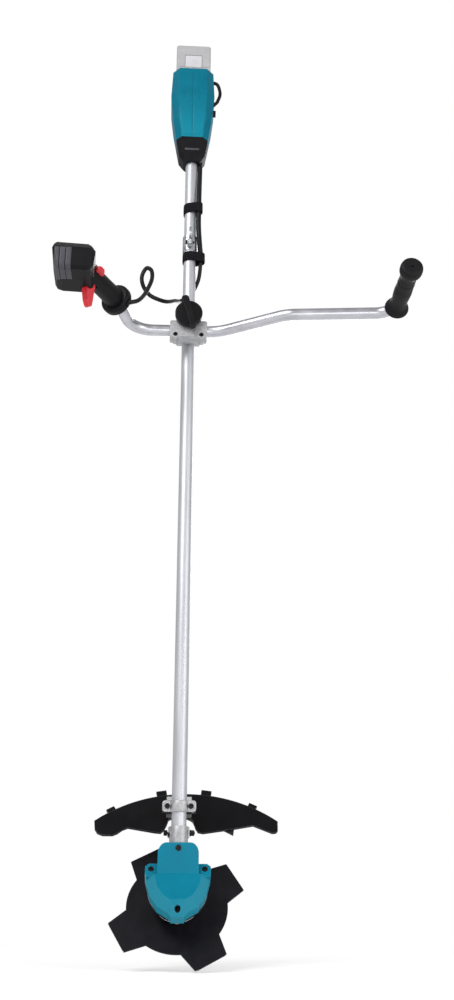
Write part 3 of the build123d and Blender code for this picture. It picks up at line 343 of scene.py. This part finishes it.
# The head cover's own teal, with a painted highlight on its sloped front faces.
HEAD_TEAL = finish(
    "teal_head_cover", (0.000, 0.170, 0.262), (0.000, 0.190, 0.290), rough=0.36, metal=0.0,
    mottle=0.04, grain=0.0007, depth=0.00004, worn=(0.05, 0.33, 0.42), worn_width=0.0020,
    worn_share=0.7, shine=0.12, tint=painted_slope_highlight,
)
RED = finish(
    "red_plastic", (0.55, 0.016, 0.026), (0.68, 0.030, 0.042), rough=0.33, metal=0.0, mottle=0.01,
    grain=0.0006, depth=0.00003, worn=(0.85, 0.22, 0.22), worn_width=0.001, shine=0.4,
)
BATTERY_GREY = finish(
    "battery_grey_plastic", (0.33, 0.33, 0.34), (0.38, 0.38, 0.39), rough=0.50, metal=0.0,
    mottle=0.03, grain=0.0006, depth=0.00004, worn=(0.50, 0.50, 0.51), worn_width=0.0015,
    shine=0.15,
)
BUTTON_GREY = finish(
    "button_light_plastic", (0.46, 0.46, 0.49), (0.52, 0.52, 0.54), rough=0.46, metal=0.0,
    mottle=0.02, grain=0.0006, depth=0.00003, worn=(0.62, 0.62, 0.64), shine=0.15,
)
STRAP = finish(
    "hook_and_loop_strap", (0.003, 0.003, 0.004), (0.012, 0.012, 0.013), rough=0.9, metal=0.0,
    mottle=0.002, grain=0.0007, depth=0.0003, shine=0.1,
)
COPPER = finish(
    "winding_copper", (0.45, 0.16, 0.06), (0.65, 0.26, 0.11), rough=0.35, metal=1.0, mottle=0.003,
    grain=0.0005, depth=0.0001, height=ribs_height(0.0009),
)
CORE = finish(
    "laminated_core", (0.18, 0.18, 0.19), (0.28, 0.28, 0.29), rough=0.5, metal=0.8, mottle=0.004,
    grain=0.0004, depth=0.00002,
)
CIRCUIT = finish(
    "circuit_board", (0.01, 0.07, 0.03), (0.02, 0.12, 0.05), rough=0.4, metal=0.0, mottle=0.004,
    grain=0.001, depth=0.00005,
)
CELL_WRAP = finish(
    "cell_wrap", (0.03, 0.10, 0.22), (0.05, 0.15, 0.30), rough=0.3, metal=0.0, mottle=0.01,
    grain=0.0006, depth=0.00001,
)


# ---------------------------------------------------------------- CAD pieces that stay
def dress(node, material, bevel=0.0):
    """Give a CAD node its finish, with rounded edges where a width is given."""
    piece = frame["nodes"][node]
    piece.data.materials.clear()
    piece.data.materials.append(material)
    if bevel:
        weld = piece.modifiers.new("weld", "WELD")
        weld.merge_threshold = 0.00001
        rounded = piece.modifiers.new("bevel", "BEVEL")
        rounded.width = bevel
        rounded.segments = 2
        rounded.limit_method = "ANGLE"
        rounded.angle_limit = math.radians(28)
        rounded.harden_normals = True


KEPT = (
    (ALUMINIUM, ("main_pipe",)),
    (
        CASTING,
        (
            "neck_casting", "handle_base_front", "handle_base_rear", "handle_holder_front",
            "handle_holder_rear", "guard_bracket",
        ),
    ),
    (HOUSING_PAINT, ("motor_housing",)), (CHROME, ("hanger_band", "hanger_eye")),
    (
        STEEL,
        (
            "spindle", "receiver_washer", "clamp_washer", "support_cup", "blade_nut", "knob_washer",
            "knob_stud", "rotor_magnets", "motor_bearings",
        ),
    ),
    (BLADE_STEEL, ("cutting_blade",)), (CUTTER_STEEL, ("line_cutter",)),
    (
        SCREW_BLACK,
        (
            "handle_base_bolts", "handle_holder_bolts", "guard_bolts", "hanger_screw",
            "head_cover_screws", "neck_bolt", "locating_screw", "rear_housing_screws",
            "control_housing_screws",
        ),
    ),
    (
        PLASTIC,
        (
            "control_housing_inner", "control_housing_outer", "rear_nose", "clamp_knob",
            "side_loop", "cable_clip", "battery_terminal_block", "trigger_switch", "power_button",
        ),
    ),
    (GUARD_PLASTIC, ("guard_shell",)), (CABLE, ("wiring_loom",)),
    (TEAL, ("rear_housing_left", "rear_housing_right")), (HEAD_TEAL, ("head_cover",)),
    (RED, ("trigger", "lock_off_lever")), (BATTERY_GREY, ("battery_case",)),
    (BUTTON_GREY, ("battery_release_button",)), (COPPER, ("stator_windings",)),
    (CORE, ("stator_core", "rotor_bell", "controller_unit")), (CIRCUIT, ("control_board",)),
    (CELL_WRAP, ("battery_cells",)),
)
ROUNDED = {
    "rear_housing_left": 0.0016, "rear_housing_right": 0.0016,
    "rear_nose": 0.0012, "control_housing_inner": 0.0010, "control_housing_outer": 0.0010,
    "clamp_knob": 0.0008, "trigger": 0.0010, "battery_case": 0.0008, "guard_shell": 0.0009,
    "handle_holder_front": 0.0008, "handle_holder_rear": 0.0008, "handle_base_front": 0.0008,
    "handle_base_rear": 0.0008, "neck_casting": 0.0006, "guard_bracket": 0.0006,
}
for material, names in KEPT:
    for name in names:
        dress(name, material, ROUNDED.get(name, 0.0))


# ---------------------------------------------------------------- mesh building
def make_piece(name, build, material, body=None, stands_for=(), sharp=38.0):
    """Turn a bmesh into a smooth shaded piece that rides on a body."""
    bmesh.ops.recalc_face_normals(build, faces=build.faces)
    mesh = bpy.data.meshes.new(name)
    build.to_mesh(mesh)
    build.free()
    mesh.materials.append(material)
    for polygon in mesh.polygons:
        polygon.use_smooth = True
    mesh.set_sharp_from_angle(angle=math.radians(sharp))
    piece = bpy.data.objects.new(name, mesh)
    bpy.context.scene.collection.objects.link(piece)
    if body:
        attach(piece, body)
    if stands_for:
        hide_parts(*stands_for)
    return piece


def skin(rings, build=None):
    """Skin over rings of points, closed at both ends."""
    build = build or bmesh.new()
    rows = [[build.verts.new(point) for point in ring] for ring in rings]
    for first, second in zip(rows, rows[1:]):
        for j in range(len(first)):
            k = (j + 1) % len(first)
            build.faces.new((first[j], first[k], second[k], second[j]))
    build.faces.new(list(reversed(rows[0])))
    build.faces.new(rows[-1])
    return build


def curve_through(points, steps=10):
    """Points of a smooth curve through the given ones."""
    points = [Vector(point) for point in points]
    ends = [2 * points[0] - points[1], *points, 2 * points[-1] - points[-2]]
    made = []
    for a, b, c, d in zip(ends, ends[1:], ends[2:], ends[3:]):
        for i in range(steps):
            t = i / steps
            made.append(0.5 * (2 * b + (c - a) * t + (2 * a - 5 * b + 4 * c - d) * t * t
                               + (3 * b - a - 3 * c + d) * t ** 3))
    made.append(points[-1])
    return made


def bent_path(corners, bends, steps=14):
    """Straight runs joined by round bends."""
    corners = [Vector(corner) for corner in corners]
    made = [corners[0]]
    for before, corner, after, radius in zip(corners, corners[1:], corners[2:], bends):
        incoming = (corner - before).normalized()
        outgoing = (after - corner).normalized()
        half = incoming.angle(outgoing) / 2
        run = radius * math.tan(half)
        centre = corner + (outgoing - incoming).normalized() * (radius / math.cos(half))
        start = corner - incoming * run - centre
        end = corner + outgoing * run - centre
        for i in range(steps + 1):
            made.append(
                centre + start.slerp(end, i / steps) * radius / start.slerp(end, i / steps).length
            )
    made.append(corners[-1])
    return made


def rings_along(path, radius, sides=20):
    """Rings of points round a path, without twist; radius may be a function of the share run."""
    aim = (path[1] - path[0]).normalized()
    side = aim.orthogonal().normalized()
    rings = []
    for i, point in enumerate(path):
        following = path[min(i + 1, len(path) - 1)] - path[max(i - 1, 0)]
        turned = following.normalized()
        side = (side - turned * side.dot(turned)).normalized()
        other = turned.cross(side)
        r = radius(i / (len(path) - 1)) if callable(radius) else radius
        rings.append([
            point + (side * math.cos(a) + other * math.sin(a)) * r
            for a in (2 * math.pi * j / sides for j in range(sides))
        ])
    return rings


def surface_of(*nodes):
    """A search tree over the surface of CAD nodes."""
    points, faces = [], []
    for node in nodes:
        mesh = frame["nodes"][node].data
        start = len(points)
        points += [vertex.co.copy() for vertex in mesh.vertices]
        faces += [[start + index for index in polygon.vertices] for polygon in mesh.polygons]
    return BVHTree.FromPolygons(points, faces)


def raised_panel(place, direction, surface, lift, columns=14, rows=20, sink=0.0006):
    """A thin panel that follows the surface under it.  place(u, v) is the start of each ray."""
    direction = Vector(direction).normalized()
    build = bmesh.new()
    top, bottom = [], []
    for i in range(rows + 1):
        top.append([])
        bottom.append([])
        for j in range(columns + 1):
            start = Vector(place(j / columns, i / rows))
            point = surface.ray_cast(start, direction)[0]
            if point is None:
                raise ValueError("a panel point misses the surface")
            rim = i in (0, rows) or j in (0, columns)
            top[-1].append(build.verts.new(point - direction * (0.0001 if rim else lift)))
            bottom[-1].append(build.verts.new(point + direction * sink))
    for i in range(rows):
        for j in range(columns):
            build.faces.new((top[i][j], top[i][j + 1], top[i + 1][j + 1], top[i + 1][j]))
            build.faces.new((bottom[i][j], bottom[i + 1][j], bottom[i + 1][j + 1], bottom[i][j + 1]))
    for j in range(columns):
        build.faces.new((top[0][j], bottom[0][j], bottom[0][j + 1], top[0][j + 1]))
        build.faces.new((top[rows][j], top[rows][j + 1], bottom[rows][j + 1], bottom[rows][j]))
    for i in range(rows):
        build.faces.new((top[i][0], top[i + 1][0], bottom[i + 1][0], bottom[i][0]))
        build.faces.new(
            (top[i][columns], bottom[i][columns], bottom[i + 1][columns], top[i + 1][columns])
        )
    return build


# ---------------------------------------------------------------- handlebar
bar_low, bar_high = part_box("handlebar")
BAR_R = (bar_high.z - bar_low.z) / 2
BAR_Z = (bar_low.z + bar_high.z) / 2
BAR_MIDDLE_Y = SWING_POINT.y
BAR_CORNERS = (
    (-0.139, -0.160), (-0.108, BAR_MIDDLE_Y), (0.058, BAR_MIDDLE_Y), (0.184, -0.110),
    (0.385, -0.128), (0.387, -0.272),
)
BAR_BENDS = (0.050, 0.080, 0.080, 0.038)
bar_path = bent_path([(x, y, BAR_Z) for x, y in BAR_CORNERS], BAR_BENDS)
make_piece("bar_tube", skin(rings_along(bar_path, BAR_R, 40)), BAR_METAL, "handle", ("handlebar",))

# ---------------------------------------------------------------- left hand grip
GRIP_PROFILE = (
    (0.0, 0.0212), (0.003, 0.0225), (0.008, 0.0212), (0.013, 0.0175), (0.022, 0.0156),
    (0.050, 0.0166), (0.080, 0.0162), (0.100, 0.0154), (0.112, 0.0165), (0.118, 0.0196),
    (0.124, 0.0206), (0.132, 0.0198), (0.1350, 0.0175), (0.1366, 0.0120), (0.1368, 0.0030),
    (0.1340, 0.0022), (0.1338, 0.0004),
)
GRIP_RIBS = (0.026, 0.096, 0.0035)


def left_grip_rings(sides=48):
    """Rings of the plain grip from its flange to its dished cap, with shallow gripping ribs."""
    low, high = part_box("left_grip")
    x, z = (low.x + high.x) / 2, (low.z + high.z) / 2
    first, last, pitch = GRIP_RIBS
    rings = []
    for point in curve_through([(along, radius, 0) for along, radius in GRIP_PROFILE], 8):
        along, radius = point.x, point.y
        if first < along < last:
            radius -= 0.0003 * (1 + math.cos(2 * math.pi * along / pitch))
        rings.append([
            (x + radius * math.cos(a), high.y - along, z + radius * math.sin(a))
            for a in (2 * math.pi * j / sides for j in range(sides))
        ])
    return rings


make_piece("grip_left_rubber", skin(left_grip_rings()), RUBBER, "handle", ("left_grip",))

# ---------------------------------------------------------------- cable, sleeve and straps
CABLE_R = 0.004
SLEEVE_R = 0.0054
CABLE_POINTS = (
    (22.3, -3.6, 1208.5), (22.3, -2.4, 1190), (18, 10, 1160), (3, 23, 1134), (-17, 12, 1112),
    (-28, -20, 1091), (-43, -50, 1069), (-60, -68, 1062), (-77, -80, 1064), (-89, -88, 1078),
    (-92, -92, 1097), (-84, -96, 1113), (-74, -101, 1105), (-72, -108, 1082), (-78, -118, 1054),
    (-86, -132, 1027), (-95, -148, 1006), (-106.7, -155.8, 997), (-115.5, -151.1, 997),
)
SLEEVE_POINTS = (
    (18, -2, 1462), (18, -3, 1425), (17, -11, 1350), (17, -11, 1325), (17, -11, 1280), (20, -8, 1235),
    (22.3, -3.6, 1214), (22.3, -3.6, 1209),
)
cable_path = curve_through([Vector(point) * MM for point in CABLE_POINTS], 12)
cable = make_piece("cable_jacket", skin(rings_along(cable_path, CABLE_R, 20)), CABLE,
                   stands_for=("control_cable",))
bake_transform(cable)
sleeve_path = curve_through([Vector(point) * MM for point in SLEEVE_POINTS], 60)
SLEEVE_RIBS = 130


def sleeve_radius(share):
    """Radius of the corrugated sleeve along its run."""
    return SLEEVE_R - 0.0004 * (1 - math.cos(2 * math.pi * share * SLEEVE_RIBS)) / 2


make_piece(
    "sleeve_tube", skin(rings_along(sleeve_path, sleeve_radius, 24)), CABLE, "frame",
    ("cable_sleeve",), sharp=80,
)


def worn_copy(node, name, material, body, cuts, wobble, size):
    """A cloth piece made from a CAD band, subdivided and ruffled."""
    build = bmesh.new()
    build.from_mesh(frame["nodes"][node].data)
    bmesh.ops.remove_doubles(build, verts=build.verts, dist=0.00001)
    bmesh.ops.subdivide_edges(build, edges=build.edges, cuts=cuts, use_grid_fill=True)
    build.normal_update()
    for vertex in build.verts:
        push = noise.noise(vertex.co / size) * wobble
        vertex.co += vertex.normal * (push + wobble)
    return make_piece(name, build, material, body, (node,), sharp=50)


worn_copy("cable_strap_upper", "strap_upper", STRAP, "frame", 3, 0.0003, 0.004)
worn_copy("cable_strap_lower", "strap_lower", STRAP, "frame", 3, 0.0004, 0.004)

# ---------------------------------------------------------------- raised panels of the rear unit
rear_surface = surface_of("rear_housing_left", "rear_housing_right")
rear_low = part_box("rear_housing_left")[0]
RAY_RUN = 0.05
SEAM_HALF = 0.0004
FACET_FOOT = 0.004
FACET_HEIGHT = 0.062
FACET_ARCH = 0.010
SPINE_HALF = 0.0125
SPINE_FOOT = 0.084
SPINE_HEIGHT = 0.079
REAR_FRONT = rear_low.y - RAY_RUN
FACET_WIDTHS = ((0.000, 0.0170), (0.018, 0.0235), (0.052, 0.0340), (0.072, 0.0330))


def width_at(table, along):
    """Half width from a short table of (distance, half width)."""
    for (a, first), (b, second) in zip(table, table[1:]):
        if along <= b:
            return first + (second - first) * (along - a) / (b - a)
    return table[-1][1]


def facet_place(side):
    """Start points for one half of the lit U shaped facet over the nose."""
    def place(u, v):
        full_height = FACET_WIDTHS[-1][0]
        across = SEAM_HALF + u * (width_at(FACET_WIDTHS, v * full_height) - SEAM_HALF)
        arch = FACET_ARCH * (1 - u * u) * v
        return (side * across, REAR_FRONT, rear_low.z + FACET_FOOT + v * FACET_HEIGHT + arch)
    return place


def spine_place(side):
    """Start points for one half of the raised strip up the middle of the front face."""
    def place(u, v):
        across = SEAM_HALF + u * SPINE_HALF
        return (side * across, REAR_FRONT, rear_low.z + SPINE_FOOT + v * SPINE_HEIGHT)
    return place


for side, word in ((-1, "left"), (1, "right")):
    # The facet panels carry the lighter copy of the teal, a painted highlight.
    make_piece(
        "rear_facet_" + word, raised_panel(facet_place(side), (0, 1, 0), rear_surface, 0.0008),
        TEAL_PAINTED_LIT, "frame",
    )
    make_piece(
        "rear_spine_" + word, raised_panel(spine_place(side), (0, 1, 0), rear_surface, 0.0006),
        TEAL, "frame",
    )

# ---------------------------------------------------------------- blank bar on the nose
nose_surface = surface_of("rear_nose")
nose_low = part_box("rear_nose")[0]
NOSE_BAR_HALF = 0.0150
NOSE_BAR_Z = (0.0220, 0.0265)


def nose_bar_place(u, v):
    """Start points for the plain lighter bar across the front of the nose."""
    low, high = NOSE_BAR_Z
    return ((2 * u - 1) * NOSE_BAR_HALF, nose_low.y - RAY_RUN, nose_low.z + low + v * (high - low))


make_piece(
    "nose_bar", raised_panel(nose_bar_place, (0, 1, 0), nose_surface, 0.0008, 16, 4), PANEL_PLASTIC,
    "frame",
)

# ---------------------------------------------------------------- ribs on the switch box, lighter plastic as painted highlight
box_surface = surface_of("control_housing_inner", "control_housing_outer")
box_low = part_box("control_housing_outer")[0]
RIBS = ((0.0095, 0.0180), (0.0192, 0.0282), (0.0294, 0.0384))
RIB_LOOK = Vector((0, 0.93, 0.37))
RIB_FOOT = Vector((0, box_low.y + 0.052, box_low.z + 0.006))
RIB_HEAD = Vector((0, box_low.y, box_low.z + 0.040))


def rib_place(start, end):
    """Start points for a rib that runs down the end face of the box and on under its front edge."""
    def place(u, v):
        point = RIB_FOOT.lerp(RIB_HEAD, v) - RIB_LOOK * (2 * RAY_RUN)
        point.x = box_low.x + start + u * (end - start)
        return point
    return place


for number, (start, end) in enumerate(RIBS, 1):
    # The ribs' lighter plastic paints the highlight of the lit ribbed face.
    rib = raised_panel(rib_place(start, end), RIB_LOOK, box_surface, 0.0009, 8, 30)
    make_piece(f"switch_box_rib_{number}", rib, PANEL_PLASTIC, "handle")


# ---------------------------------------------------------------- floor, light and camera
CAMERA_PLACE = Vector((-0.0149, -1.7230, -0.0163))
CAMERA_TILT = 111.80
CAMERA_ROLL = -0.13
CAMERA_TURN = -3.14
CAMERA_LENS = 35.9
FLOOR_RADIUS = 14.0
FLOOR_GAP = 0.002
WHITE = (1.0, 1.0, 1.0)
# name, place and aim from the middle of the object, side of the softbox, power in watts
LIGHTS = (
    ("key", (-1.6, -2.2, 1.6), (0, 0, 0), 1.6, 60),
    ("fill", (2.2, -1.8, 0.2), (0, 0, 0), 1.8, 28),
    ("low", (0.3, -2.4, -0.75), (0, 0, -0.9), 0.9, 10),
    ("back", (0.6, 2.4, 1.2), (0, 0, 0), 1.8, 40),
)


def floor_finish():
    """Pale matt floor that fades into the white backdrop with distance, and is clear from below."""
    graph = Graph("pale_floor")
    place = graph.add("ShaderNodeTexCoord").outputs["Object"]
    away = graph.add("ShaderNodeVectorMath", {0: place}, operation="LENGTH").outputs["Value"]
    cloud = graph.noise(0.4)
    paper = graph.mix(cloud, (0.93, 0.93, 0.93), (0.96, 0.96, 0.96))
    matt = graph.add("ShaderNodeBsdfDiffuse", {"Color": paper, "Roughness": 1.0}).outputs[0]
    glow = graph.add("ShaderNodeEmission", {"Color": WHITE, "Strength": 1.0}).outputs[0]
    near = graph.add(
        "ShaderNodeMixShader", {0: graph.remap(away, 0.15, 1.1, 0.5, 1.0), 1: matt, 2: glow},
    ).outputs[0]
    clear = graph.add("ShaderNodeBsdfTransparent").outputs[0]
    below = graph.add("ShaderNodeNewGeometry").outputs["Backfacing"]
    surface = graph.add("ShaderNodeMixShader", {0: below, 1: near, 2: clear}).outputs[0]
    graph.add("ShaderNodeOutputMaterial", {"Surface": surface})
    return graph.material


def make_floor():
    """A round floor just under the lowest point of the object."""
    mesh = bpy.data.meshes.new("floor")
    build = bmesh.new()
    bmesh.ops.create_circle(build, cap_ends=True, segments=96, radius=FLOOR_RADIUS)
    build.to_mesh(mesh)
    build.free()
    floor = bpy.data.objects.new("floor", mesh)
    centre = (cad_low + cad_high) / 2
    floor.location = (centre.x, centre.y, cad_low.z - FLOOR_GAP)
    mesh.materials.append(floor_finish())
    bpy.context.scene.collection.objects.link(floor)


def make_world():
    """A white backdrop for the camera and a softer white surround for everything else."""
    world = bpy.data.worlds.new("studio")
    bpy.context.scene.world = world
    world.use_nodes = True
    tree = world.node_tree
    tree.nodes.clear()
    seen = tree.nodes.new("ShaderNodeLightPath").outputs["Is Camera Ray"]
    strength = tree.nodes.new("ShaderNodeMapRange")
    strength.inputs[3].default_value = 0.50
    strength.inputs[4].default_value = 1.0
    backdrop = tree.nodes.new("ShaderNodeBackground")
    backdrop.inputs["Color"].default_value = (*WHITE, 1)
    out = tree.nodes.new("ShaderNodeOutputWorld")
    tree.links.new(seen, strength.inputs[0])
    tree.links.new(strength.outputs[0], backdrop.inputs["Strength"])
    tree.links.new(backdrop.outputs[0], out.inputs["Surface"])


def soft_light(name, place, target, size, power):
    """A square softbox that looks at a point."""
    data = bpy.data.lights.new(name, "AREA")
    data.shape = "SQUARE"
    data.size = size
    data.energy = power
    lamp = bpy.data.objects.new(name, data)
    lamp.location = place
    lamp.rotation_euler = (Vector(target) - Vector(place)).to_track_quat("-Z", "Y").to_euler()
    bpy.context.scene.collection.objects.link(lamp)


def make_camera():
    """The camera, level with the cutting head and looking up along the pipe."""
    data = bpy.data.cameras.new("camera")
    data.lens = CAMERA_LENS
    data.clip_start = 0.05
    data.clip_end = 100
    camera = bpy.data.objects.new("camera", data)
    camera.location = CAMERA_PLACE
    camera.rotation_euler = (
        math.radians(CAMERA_TILT), math.radians(CAMERA_ROLL), math.radians(CAMERA_TURN),
    )
    bpy.context.scene.collection.objects.link(camera)
    bpy.context.scene.camera = camera


make_floor()
make_world()
middle = (cad_low + cad_high) / 2
for name, offset, aim, size, power in LIGHTS:
    soft_light(name, middle + Vector(offset), middle + Vector(aim), size, power)
make_camera()
bpy.context.scene.view_settings.view_transform = "Standard"
